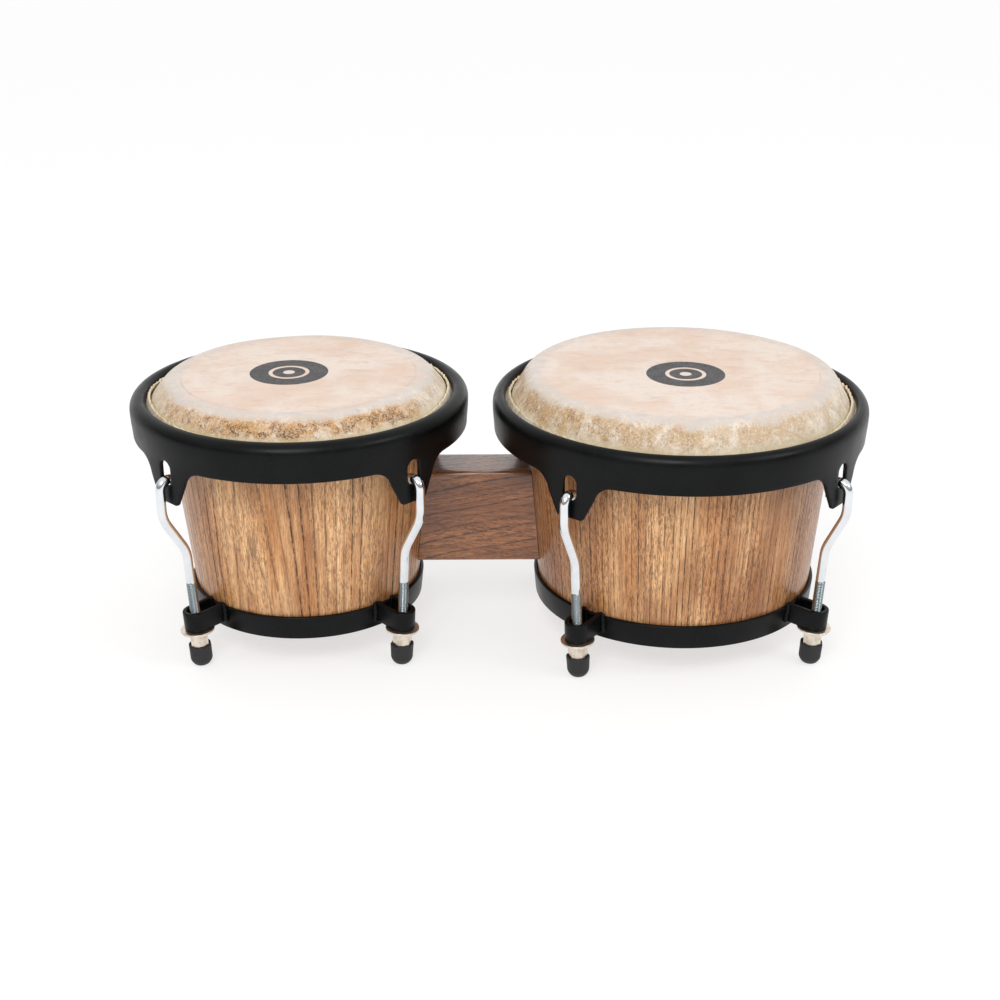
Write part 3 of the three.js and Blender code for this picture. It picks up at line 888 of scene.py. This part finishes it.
def flat_quarter(drum):
    """One quarter of the wall as a flat sheet: points, faces and its two open outlines."""
    half_width = drum.rim_radius * math.pi / 4
    columns = [half_width - 2 * half_width * k / RIM_COLUMNS for k in range(RIM_COLUMNS + 1)]
    seam = drum.rim_top - SEAM_DROP
    band, ear = ear_outline(drum, EDGE_ROUND)
    wing = ear[0][0]
    run = [x for x in columns if x > wing + 1]
    lower = [(x, band) for x in run] + ear + [(-x, band) for x in reversed(run)]
    side_heights = [seam - (seam - band) * k / 5 for k in range(1, 5)]
    upper = [(x, seam) for x in reversed(columns)]
    outline = (lower + [(-half_width, z) for z in reversed(side_heights)] + upper
               + [(half_width, z) for z in side_heights])
    hole = hole_outline(drum, EDGE_ROUND)
    inner = []
    spacing = 2.6
    height = drum.ear_bottom
    while height < seam - 1:
        reach = half_width - 1.2
        count = int(2 * reach / spacing)
        inner += [(-reach + 2 * reach * k / count, height) for k in range(count + 1)]
        height += spacing
    inner = [p for p in inner
             if clear_of(p, outline, 1.3, inside=True) and clear_of(p, hole, 1.3, inside=False)]
    points = [Vector(p) for p in outline + hole + inner]
    n, m = len(outline), len(hole)
    edges = [(i, (i + 1) % n) for i in range(n)] + [(n + i, n + (i + 1) % m) for i in range(m)]
    loops = [list(range(n)), [n + i for i in range(m)][::-1]]
    made, _, faces, origins, _, _ = delaunay_2d_cdt(points, edges, loops, 2, 1e-5)
    where = {}
    for new, old in enumerate(origins):
        for index in old:
            where[index] = new
    keep = [face for face in faces if not in_polygon(middle_of(made, face), hole)]
    lower_loop = [where[i] for i in range(len(lower))]
    hole_loop = [where[n + i] for i in range(m)]
    top_start = len(lower) + len(side_heights)
    top_loop = [where[i] for i in range(top_start, top_start + len(upper))]
    return [tuple(p) for p in made], keep, lower_loop, hole_loop, top_loop


def middle_of(points, loop):
    return sum((Vector(points[v]) for v in loop), Vector((0, 0))) / len(loop)


def in_polygon(point, outline):
    inside = False
    x, y = point[0], point[1]
    for (x0, y0), (x1, y1) in zip(outline, outline[1:] + outline[:1]):
        if (y0 > y) != (y1 > y) and x < x0 + (x1 - x0) * (y - y0) / (y1 - y0):
            inside = not inside
    return inside


def clear_of(point, outline, margin, inside):
    if in_polygon(point, outline) != inside:
        return False
    return all((point[0] - x) ** 2 + (point[1] - y) ** 2 > margin ** 2 for x, y in outline)


def edge_rings():
    """Steps round a pressed edge: (distance out from the face's outline, depth)."""
    turn = [math.radians(a) for a in (0, 22.5, 45, 67.5, 90)]
    front = [(EDGE_ROUND * math.sin(a), EDGE_ROUND * (1 - math.cos(a))) for a in turn]
    return front + [(out, RIM_SHEET - depth) for out, depth in reversed(front)]


def make_rim(drum, material):
    """A pressed rim: flat quarters wrapped round the drum, with rounded edges along the
    ears and holes, under a rolled top."""
    flat, faces2d, lower_loop, hole_loop, top_loop = flat_quarter(drum)
    rings = edge_rings()
    vertices, faces = [], []

    def wrap(point, depth, turn):
        angle = point[0] / drum.rim_radius + turn
        radius = wall_radius(drum, point[1]) - depth
        vertices.append((radius * math.cos(angle), radius * math.sin(angle), point[1]))
        return len(vertices) - 1

    def round_edge(loop, closed, front, back, turn):
        """Joins the outer and inner sheets along an outline by a rounded edge."""
        count = len(loop)
        outs = []
        for k in range(count):
            before, after = k - 1, k + 1
            if not closed:
                before, after = max(before, 0), min(after, count - 1)
            along = (Vector(flat[loop[after % count]]) - Vector(flat[loop[before % count]])).normalized()
            out = Vector((-along.y, along.x))
            if out.y > 0 and not closed:
                out = -out
            outs.append(Vector((0, -1)) if not closed and k in (0, count - 1) else out)
        if closed:
            middle = middle_of(flat, loop)
            outs = [o if o.dot(middle - Vector(flat[v])) > 0 else -o for o, v in zip(outs, loop)]
        rows = [[front[v] for v in loop]]
        for out, depth in rings[1:-1]:
            rows.append([wrap(Vector(flat[v]) + outs[k] * out, depth, turn) for k, v in enumerate(loop)])
        rows.append([back[v] for v in loop])
        spans = count if closed else count - 1
        for upper, lower in zip(rows, rows[1:]):
            for k in range(spans):
                j = (k + 1) % count
                faces.append((upper[k], upper[j], lower[j], lower[k]))

    seam_rows = []
    for station in drum.stations:
        turn = station.angle
        front = [wrap(p, 0.0, turn) for p in flat]
        back = [wrap(p, RIM_SHEET, turn) for p in flat]
        for face in faces2d:
            faces.append(tuple(front[v] for v in face))
            faces.append(tuple(back[v] for v in reversed(face)))
        round_edge(lower_loop, False, front, back, turn)
        round_edge(hole_loop, True, front, back, turn)
        seam_rows.append(([front[v] for v in top_loop], [back[v] for v in top_loop], turn))

    section = roll_section(drum)
    for fronts, backs, turn in seam_rows:
        columns = []
        for k, (front, back) in enumerate(zip(fronts, backs)):
            angle = flat[top_loop[k]][0] / drum.rim_radius + turn
            column = [front]
            for radius, height in section[1:-1]:
                vertices.append((radius * math.cos(angle), radius * math.sin(angle), height))
                column.append(len(vertices) - 1)
            columns.append(column + [back])
        for here, there in zip(columns, columns[1:]):
            for i in range(len(here) - 1):
                faces.append((here[i], there[i], there[i + 1], here[i + 1]))

    made = new_mesh(f"{drum.name}_rim_steel", vertices, faces, smooth_angle=50, transform=on_axis_of(drum))
    tidy_mesh(made, 0.02)
    return finish_piece(made, material, drum.rim_body, [f"{drum.name}_rim"])


def tidy_mesh(made, distance_mm):
    """Merges corners that meet and makes all faces agree about which side is out."""
    work = bmesh.new()
    work.from_mesh(made.data)
    bmesh.ops.remove_doubles(work, verts=work.verts, dist=distance_mm * MM)
    bmesh.ops.recalc_face_normals(work, faces=work.faces)
    work.to_mesh(made.data)
    work.free()
    made.data.update()


# ---- bottom ring and its lugs


def make_bottom_ring(drum, material):
    """A rolled band with four bent straps welded to it."""
    low = shell_radius(drum, drum.ring_bottom) + GAP
    high = shell_radius(drum, RING_TOP) + GAP
    band = lathe("band", rounded([
        (low, drum.ring_bottom, 0.5), (low + RING_THICKNESS, drum.ring_bottom, 0.8),
        (high + RING_THICKNESS, RING_TOP, 0.8), (high, RING_TOP, 0.5)]), 220, transform=on_axis_of(drum))
    parts = [band]
    for station in drum.stations:
        parts += make_lug(drum, station)
    made = joined(f"{drum.name}_ring_steel", parts)
    return finish_piece(made, material, "root", [f"{drum.name}_bottom_ring"])


def make_lug(drum, station):
    """A U-strap round the rod, and the weld beads where its legs meet the band."""
    middle_height = STRAP_BOTTOM + STRAP_HEIGHT / 2
    band_face = shell_radius(drum, middle_height) + GAP + RING_THICKNESS
    leg = station.radius_at(middle_height) - band_face + WELD_DEPTH
    middle = STRAP_INNER + STRAP_THICKNESS / 2
    path = [(-leg, -middle), (-leg * 0.5, -middle)]
    path += arc(0, 0, middle, -90, 90, 20)
    path += [(-leg * 0.5, middle), (-leg, middle)]
    half_t, half_h = STRAP_THICKNESS / 2, STRAP_HEIGHT / 2
    section = rounded([(-half_t, -half_h, 0.7), (half_t, -half_h, 0.7),
                       (half_t, half_h, 0.7), (-half_t, half_h, 0.7)], steps=4)
    centre = STRAP_BOTTOM + half_h
    place = on_axis_of(drum, station.leaning)
    strap = sweep("strap", [(x, y, centre) for x, y in path], section, up=(0, 0, 1), transform=place)
    chance = random.Random(drum.seed * 10 + int(station.label))
    beads = []
    for side in (-1, 1):
        for offset, size in ((middle + half_t + 0.5, 1.7), (middle - half_t - 0.3, 1.2)):
            sagitta = offset * offset / (2 * band_face)
            foot = (-(leg - WELD_DEPTH) - sagitta + 0.4, side * offset)
            beads.append(weld_bead(foot, size, chance, place))
    return [strap] + beads


def weld_bead(foot, size, chance, place):
    """A lumpy upright bead that thins out at both ends."""
    steps, sides = 26, 14
    low, high = STRAP_BOTTOM - 0.3, STRAP_BOTTOM + STRAP_HEIGHT + 0.3
    start = chance.uniform(0, FULL_TURN)
    path = []
    for k in range(steps + 1):
        rise = k / steps
        sway = 0.18 * math.sin(rise * 9 + start)
        drift = 0.15 * math.cos(rise * 7 + start)
        path.append((foot[0] + sway, foot[1] + drift, low + (high - low) * rise))

    def swell(length, index):
        rise = length / (high - low)
        ends = max(1 - abs(2 * rise - 1) ** 5, 0.05) ** 0.5
        ripple = 1 + 0.13 * math.sin(rise * 58 + start) + 0.08 * math.sin(rise * 23 + index)
        return ends * ripple

    return sweep("bead", path, circle(size, sides), radius_at=swell, smooth_angle=80, transform=place)


# ---- rods, washers, nuts and tips


def rod_path(drum, station):
    """Up on the lean from the nut, out by an S-bend, and over the ear's edge in a hook."""
    ear_middle = drum.rim_radius - RIM_TAPER - RIM_SHEET / 2
    leg = ear_middle + HOOK_RADIUS
    reach = math.sqrt((HOOK_RADIUS - 2.8) ** 2 - (RIM_SHEET / 2) ** 2)
    hook_height = drum.rim_top - HOLE_DROP + GAP - reach
    bottom = drum.rim_top - ROD_DROP
    knee_low, knee_high = ROD_BENDS
    bends = rounded([(station.radius_at(bottom), bottom), (station.radius_at(knee_low), knee_low, 21),
                     (leg, knee_high, 21), (leg, hook_height)], steps=12, closed=False)
    over = arc(ear_middle, hook_height, HOOK_RADIUS, 0, 180, 22)
    tip = (ear_middle - HOOK_RADIUS, hook_height - 6)
    return bends + over[1:] + [(tip[0], tip[1] + 1.2), tip]


def make_rod(drum, station, material):
    """A bent chrome rod with a rolled thread at its foot and a rounded tip on its hook."""
    sides = 28
    outline = rod_path(drum, station)
    thread_top, bottom = THREAD_TOP, outline[0][1]
    slant = 1 / math.cos(station.lean)
    rows = round((thread_top - bottom) * slant / THREAD_PITCH * 8)
    low_end, knee = Vector(outline[0]), Vector(outline[1])
    thread_end = low_end + (knee - low_end).normalized() * (thread_top - bottom) * slant
    thread = [tuple(low_end.lerp(thread_end, k / rows)) for k in range(rows + 1)]
    path = [(r, 0, z) for r, z in thread + outline[1:]]
    thread_length = (thread_end - low_end).length
    total = sum((Vector(b) - Vector(a)).length for a, b in zip(path, path[1:]))

    def radius(length, index):
        if length < thread_length + 0.01:
            wave = (length / THREAD_PITCH - index / sides) % 1.0
            crest = 1 - abs(2 * wave - 1)
            size = ROD_CREST - 0.5 * (1 - min(crest * 1.4, 1.0))
            entry = min(length / 1.5, 1.0)
            return (size - 0.5 * (1 - entry)) / ROD_SHANK
        from_tip = total - length
        if from_tip < 1.3:
            return math.sqrt(max(1 - (1 - from_tip / 1.3) ** 2 * 0.85, 0.0))
        return 1.0

    made = sweep(f"{drum.name}_rod_{station.label}_steel", path, circle(ROD_SHANK, sides),
                 radius_at=radius, smooth_angle=60, transform=on_axis_of(drum, station.upright))
    return finish_piece(made, material, drum.rim_body, [f"{drum.name}_rod_{station.label}"])


def make_washer(drum, station, material):
    """A cone washer: a flat rim with a shallow cone under it."""
    section = rounded([(WASHER_BORE, WASHER_BOTTOM, 0.2), (6.2, WASHER_BOTTOM, 0.3), (7.0, 22.0, 0.8),
                       (WASHER_RADIUS, 22.75, 0.3), (WASHER_RADIUS, WASHER_TOP, 0.4),
                       (WASHER_BORE, WASHER_TOP, 0.2)], steps=4)
    made = lathe(f"{drum.name}_washer_{station.label}_steel", section, 72,
                 transform=on_axis_of(drum, station.leaning))
    return finish_piece(made, material, "root", [f"{drum.name}_washer_{station.label}"])


def hex_radius(flats, angle):
    """Distance from a hexagon's centre to its side, its corners lying at 0, 60, ... degrees."""
    swing = (angle % (math.pi / 3)) - math.pi / 6
    return flats / 2 / math.cos(swing)


def hex_nut(name, flats, bore, bottom, top, **options):
    """A hexagonal nut whose corners are turned off at both ends, with a bevelled bore."""
    corner = flats / math.sqrt(3)
    face = flats / 2 - 0.15
    drop = (corner - face) * math.tan(math.radians(30))
    rows = [(bore, bottom + 0.5), (bore + 0.5, bottom), (face, bottom), (corner, bottom + drop),
            (corner, bottom + drop + 0.4), (corner, top - drop - 0.4), (corner, top - drop), (face, top),
            (bore + 0.5, top), (bore, top - 0.5)]

    def shape(radius, height, angle, index):
        limit = hex_radius(flats, angle)
        if index in (3, 6):
            depth = (min(limit, corner) - face) * math.tan(math.radians(30))
            return limit, bottom + depth if index == 3 else top - depth
        return min(radius, limit), height

    return lathe(name, rows, 96, shape, smooth_angle=24, **options)


def make_nut(drum, station, material):
    made = hex_nut(f"{drum.name}_nut_{station.label}_steel", NUT_FLATS, NUT_BORE, NUT_BOTTOM, NUT_TOP,
                   transform=on_axis_of(drum, station.leaning))
    return finish_piece(made, material, station.body, [f"{drum.name}_nut_{station.label}"])


def make_tip(drum, station, material):
    """A rubber cap pulled over the nut, bulged by the nut's corners round its mouth."""
    outside = rounded([(0, 0), (4.3, 0.0, 3.2), (6.5, 3.4, 4.5), (6.75, TIP_TOP - 0.9, 0.5),
                       (6.1, TIP_TOP, 0.5), (5.45, TIP_TOP - 0.6, 0.3), (5.3, TIP_FLOOR), (0, TIP_FLOOR)],
                      steps=7, closed=False)

    def shape(radius, height, angle, index):
        grip = min(max((height - 5) / 7, 0.0), 1.0)
        corners = math.cos(6 * angle)
        if index > len(outside) - 3:
            return radius, height
        lift = 0.32 * corners * max((height - TIP_TOP + 2.5) / 2.5, 0.0)
        return radius * (1 + 0.035 * grip * corners), height + lift

    made = lathe(f"{drum.name}_tip_{station.label}_rubber", outside, 72, shape, smooth_angle=50,
                 transform=on_axis_of(drum, station.leaning))
    return finish_piece(made, material, station.body, [f"{drum.name}_tip_{station.label}"])


# ---- centre block and its bolts

BLOCK_ROUND = 2.2


def make_block(material):
    """A board with eased long edges whose ends follow the two shells."""
    low, high = box_mm("centre_block")
    half = (high.y - low.y) / 2
    outline = rounded([(-half, low.z, BLOCK_ROUND), (half, low.z, BLOCK_ROUND),
                       (half, high.z, BLOCK_ROUND), (-half, high.z, BLOCK_ROUND)], steps=6)
    dense = []
    for (y0, z0), (y1, z1) in zip(outline, outline[1:] + outline[:1]):
        parts = max(1, round(math.hypot(y1 - y0, z1 - z0) / 4))
        dense += [(y0 + (y1 - y0) * k / parts, z0 + (z1 - z0) * k / parts) for k in range(parts)]

    def end(drum, y, z, side):
        radius = shell_radius(drum, z) + GAP
        return drum.axis_x + side * math.sqrt(radius * radius - y * y)

    columns = 32
    vertices, faces = [], []
    count = len(dense)
    for k in range(columns + 1):
        for y, z in dense:
            start, stop = end(MACHO, y, z, 1), end(HEMBRA, y, z, -1)
            vertices.append((start + (stop - start) * k / columns, y, z))
    for k in range(columns):
        for i in range(count):
            j = (i + 1) % count
            faces.append((k * count + i, k * count + j, (k + 1) * count + j, (k + 1) * count + i))
    for k, drum, side in ((0, MACHO, 1), (columns, HEMBRA, -1)):
        first = k * count
        middle = len(vertices)
        vertices.append((end(drum, 0, (low.z + high.z) / 2, side), 0, (low.z + high.z) / 2))
        for i in range(count):
            faces.append((first + i, first + (i + 1) % count, middle))
    made = new_mesh("centre_block_wood", vertices, faces, smooth_angle=40)
    tidy_mesh(made, 0.001)

    def lay(point, middle):
        depth = point.y + half * MM
        if abs(middle.z - high.z * MM) < 0.002:
            return point.z + depth, point.x
        if middle.y > 0:
            return point.z + 0.3, point.x
        return point.z - (depth if abs(middle.z - low.z * MM) < 0.002 else 0.0), point.x

    add_grain_map(made, lay)
    return finish_piece(made, material, "root", ["centre_block"])


def make_block_fixings(label, material):
    """One through-bolt with its hexagonal head, its nut and a washer at each end."""
    low, high = box_mm(f"block_bolt_{label}")
    height = (low.z + high.z) / 2
    lie = Matrix.Translation((0, 0, height)) @ Matrix.Rotation(math.pi / 2, 4, "Y")
    sides = 24

    def thread(length, index):
        wave = (length / BOLT_PITCH - index / sides) % 1.0
        return 1 + (BOLT_CREST / BOLT_ROOT - 1) * (1 - abs(2 * wave - 1)) * 1.6 - 0.06

    rows = round((high.x - low.x - BOLT_HEAD) / BOLT_PITCH * 6)
    start = low.x + BOLT_HEAD * 0.6
    path = [(0, 0, start + (high.x - low.x - BOLT_HEAD * 0.6) * k / rows) for k in range(rows + 1)]
    bar = sweep("bar", path, circle(BOLT_ROOT, sides), up=(0, 1, 0), radius_at=thread, transform=lie)
    cap = hex_nut("cap", BOLT_FLATS, 1.0, low.x, low.x + BOLT_HEAD, transform=lie)
    bolt = joined(f"block_bolt_{label}_steel", [bar, cap])
    finish_piece(bolt, material, "root", [f"block_bolt_{label}"])
    low, high = box_mm(f"block_nut_{label}")
    nut = hex_nut(f"block_nut_{label}_steel", BOLT_FLATS, 4.2, low.x, high.x, transform=lie)
    finish_piece(nut, material, "root", [f"block_nut_{label}"])
    for end in ("macho", "hembra"):
        low, high = box_mm(f"block_washer_{end}_{label}")
        ring = rounded([(4.3, low.x, 0.2), (10, low.x, 0.3), (10, high.x, 0.3), (4.3, high.x, 0.2)], steps=3)
        washer = lathe(f"block_washer_{end}_{label}_steel", ring, 64, transform=lie)
        finish_piece(washer, material, "root", [f"block_washer_{end}_{label}"])


# --------------------------------------------------------------------- stage and camera


def make_stage():
    """A large pale floor and soft studio light."""
    size = 30.0
    mesh = bpy.data.meshes.new("floor")
    corners = [(-size, -size, 0), (size, -size, 0), (size, size, 0), (-size, size, 0)]
    mesh.from_pydata(corners, [], [(0, 1, 2, 3)])
    floor = bpy.data.objects.new("floor", mesh)
    bpy.context.scene.collection.objects.link(floor)
    paint = Paint("floor_white")
    paint.set(Base_Color=(0.36, 0.36, 0.36, 1), Roughness=0.9, Specular_IOR_Level=0.1)
    paint.set(Emission_Color=(1, 1, 1, 1), Emission_Strength=0.66)
    mesh.materials.append(paint.material)
    make_world()
    add_softbox("key", (-0.25, -1.3, 1.3), 0.6, 11)
    add_softbox("fill", (1.2, -0.6, 1.1), 0.5, 4)


def make_world():
    """A studio that is bright overhead and dimmer lower down, with a pale strip along the
    horizon and a bright backdrop behind the drums."""
    world = bpy.data.worlds.new("studio")
    bpy.context.scene.world = world
    world.use_nodes = True
    sky = Nodes(world.node_tree)
    _, depth, height = sky.split(sky.node("TexCoord", {}).outputs["Generated"])
    overhead = sky.step(height, 0.0, 0.85, 0.15, 0.95)
    backdrop = sky.product(sky.step(depth, 0.35, 0.85), sky.step(height, 0.75, 0.35), 0.6)
    horizon = sky.step(height, 0.14, 0.05, 0.0, 0.8)
    background = world.node_tree.nodes["Background"]
    sky.feed(background.inputs["Strength"], sky.math("ADD", sky.math("ADD", overhead, backdrop), horizon))
    background.inputs["Color"].default_value = (1, 1, 1, 1)


def add_softbox(name, place, size, power):
    light = bpy.data.lights.new(name, "AREA")
    light.shape = "SQUARE"
    light.size = size
    light.energy = power
    made = bpy.data.objects.new(name, light)
    made.location = place
    aim = Vector((0, 0, 0.09)) - Vector(place)
    made.rotation_euler = aim.to_track_quat("-Z", "Y").to_euler()
    bpy.context.scene.collection.objects.link(made)


def make_camera():
    """Straight ahead of the pair and a little to the left, looking down by 23 degrees."""
    yaw, pitch, roll = -0.0088, 0.3977, -0.0019
    ahead = Vector((-math.sin(yaw) * math.cos(pitch), math.cos(yaw) * math.cos(pitch), -math.sin(pitch)))
    level = Vector((math.cos(yaw), math.sin(yaw), 0))
    above = level.cross(ahead)
    right = level * math.cos(roll) + above * math.sin(roll)
    up = above * math.cos(roll) - level * math.sin(roll)
    data = bpy.data.cameras.new("camera")
    data.sensor_width = 36
    data.lens = 60.2
    data.clip_end = 50
    camera = bpy.data.objects.new("camera", data)
    turn = Matrix((right, up, -ahead)).transposed().to_4x4()
    between = (MACHO.axis_x + HEMBRA.axis_x) / 2 * MM
    camera.matrix_world = Matrix.Translation((between - 0.0025, -0.9459, 0.477)) @ turn
    bpy.context.scene.collection.objects.link(camera)
    bpy.context.scene.camera = camera
    bpy.context.scene.view_settings.view_transform = "Standard"
    bpy.context.scene.view_settings.look = "None"


# ----------------------------------------------------------------------------- assembly


def build():
    make_camera()
    make_stage()
    coat, chrome, nickel = black_coat_material(), chrome_material(), nickel_material()
    zinc, rubber = zinc_material(), rubber_material()
    woods = {
        "macho": wood_material("macho_wood", MACHO.seed, MACHO_TONES, figure=(-0.024, 0.010, 0.06, 0.045),
                               spacing=0.0050, sway=0.007, scatter=0.5, flank_shade=0.42),
        "hembra": wood_material("hembra_wood", HEMBRA.seed, HEMBRA_TONES, figure=(0.30, 0.02, 0.02, 0.1),
                                spacing=0.0038, sway=0.004, scatter=0.6, flank_shade=0.42),
    }
    board = wood_material("block_wood", 23, BLOCK_TONES, figure=(-0.02, 0.03, -0.2, 1.0),
                          spacing=0.0042, sway=0.03, scatter=0.55, gloss=1.0)
    rooted = {"macho": 1.0, "hembra": 0.5}
    patches = {
        "macho": ((-90, 1.0), (-62, 0.9), (-118, 0.8)),
        "hembra": ((-142, 0.95), (-172, 0.85), (-108, 0.6), (-75, 0.35)),
    }
    for drum in DRUMS:
        make_shell(drum, woods[drum.name])
        skin = rawhide_material(drum, DISC_CENTRE[drum.name], SKIRT_GOLD[drum.name], rooted[drum.name],
                                patches[drum.name])
        make_head(drum, skin)
        make_hoop(drum, zinc)
        make_rim(drum, coat)
        make_bottom_ring(drum, coat)
        for station in drum.stations:
            make_rod(drum, station, chrome)
            make_washer(drum, station, nickel)
            make_nut(drum, station, nickel)
            make_tip(drum, station, rubber)
    make_block(board)
    for label in ("lower", "upper"):
        make_block_fixings(label, zinc)


build()
